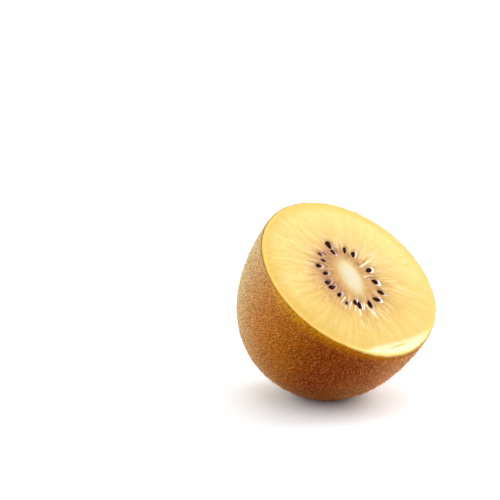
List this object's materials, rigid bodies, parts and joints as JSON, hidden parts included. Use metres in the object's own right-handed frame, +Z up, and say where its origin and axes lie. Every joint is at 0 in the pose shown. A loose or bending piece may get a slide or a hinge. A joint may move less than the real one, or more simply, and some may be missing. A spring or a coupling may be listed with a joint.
{
  "type": "golden kiwi fruit half",
  "caption": "Golden kiwi fruit cut across its middle, resting on its side with the cut face up and forward, seeds set round a pale pith.",
  "frame": {"origin": "on the resting surface, in the small flat foot where the fruit's lowest point comes", "axes": "+Z up, -Z out of the flat foot, -Y the way the leaning cut face looks, +X to the right when the cut face is seen from the front"},
  "size_m": [0.0486, 0.0507, 0.048],
  "materials": {
    "flesh": "moist, slightly glossy cut fruit flesh",
    "skin": "matt brown skin with a fine short down",
    "seed": "smooth wet dark brown seed coat"
  },
  "bodies": {
    "root": {"kiwi_half": "flesh"}
  },
  "joints": []
}
